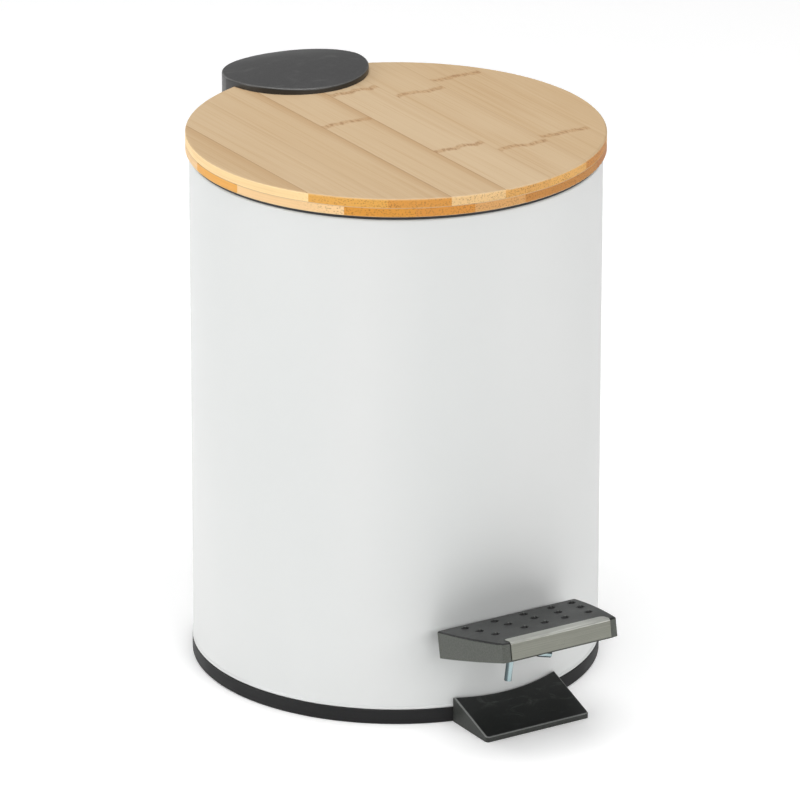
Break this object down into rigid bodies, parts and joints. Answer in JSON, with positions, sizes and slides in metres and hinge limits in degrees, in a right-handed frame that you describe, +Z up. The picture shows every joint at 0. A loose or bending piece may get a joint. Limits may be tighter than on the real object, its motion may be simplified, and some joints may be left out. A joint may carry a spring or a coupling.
{
  "type": "pedal bin",
  "caption": "Round white pedal bin with a hinged bamboo lid, black base ring, front foot, plastic pedal with metal trim and a lift-out inner bucket.",
  "frame": {"origin": "on the body's axis, at the flat underside of the base", "axes": "+Z up along the body axis, -Y towards the pedal and front foot, +Y towards the lid hinge, +X to the right seen from the front"},
  "size_m": [0.171, 0.2393, 0.2304],
  "materials": {
    "white_paint": "satin",
    "black_plastic": "satin",
    "bucket_plastic": "satin",
    "pedal_plastic": "textured matte",
    "bamboo_upper": "satin lacquer",
    "bamboo_lower": "satin lacquer",
    "brushed_trim": "brushed",
    "zinc_steel": "zinc plated"
  },
  "bodies": {
    "bin_body": {"base_pan": "black_plastic", "front_foot": "black_plastic", "body_shell": "white_paint", "lever_bracket": "zinc_steel", "bracket_rivets": "zinc_steel", "lever_pin": "zinc_steel", "rod_guide": "zinc_steel", "hinge_base": "black_plastic", "hinge_inner_plate": "zinc_steel", "hinge_base_screws": "zinc_steel", "hinge_pin": "zinc_steel", "hinge_pin_clip": "zinc_steel", "inner_bucket": "bucket_plastic"},
    "pedal_assembly": {"pedal_lever": "zinc_steel", "stop_wire": "zinc_steel", "pedal_cover": "pedal_plastic", "pedal_trim": "brushed_trim", "pedal_pin": "zinc_steel"},
    "lift_rod_assembly": {"lift_rod": "zinc_steel", "rod_clips": "zinc_steel"},
    "lid_assembly": {"lid_hinge": "zinc_steel", "lid_hinge_screws": "zinc_steel", "hinge_cover": "black_plastic", "lid_lower_ply": "bamboo_lower", "lid_upper_ply": "bamboo_upper"},
    "bail": {"bucket_bail": "zinc_steel"}
  },
  "joints": [
    {"name": "pedal_hinge", "type": "hinge", "parent": "bin_body", "child": "pedal_assembly", "pos_m": [0, -0.028, 0.0285], "axis": [1, 0, 0], "range_deg": [0, 12.5]},
    {"name": "rod_slide", "type": "slide", "parent": "bin_body", "child": "lift_rod_assembly", "axis": [0, 0, 1], "range_m": [0, 0.0227]},
    {"name": "lid_hinge_turn", "type": "hinge", "parent": "bin_body", "child": "lid_assembly", "pos_m": [0, 0.09, 0.214], "axis": [-1, 0, 0], "range_deg": [0, 78]},
    {"name": "bail_turn", "type": "hinge", "parent": "bin_body", "child": "bail", "pos_m": [0, 0, 0.2074], "axis": [-1, 0, 0], "range_deg": [0, 6]}
  ],
  "couplings": [
    {"joint": "rod_slide", "follows": "pedal_hinge", "m_per_rad": 0.10379},
    {"joint": "lid_hinge_turn", "follows": "pedal_hinge", "ratio": 6.224}
  ]
}
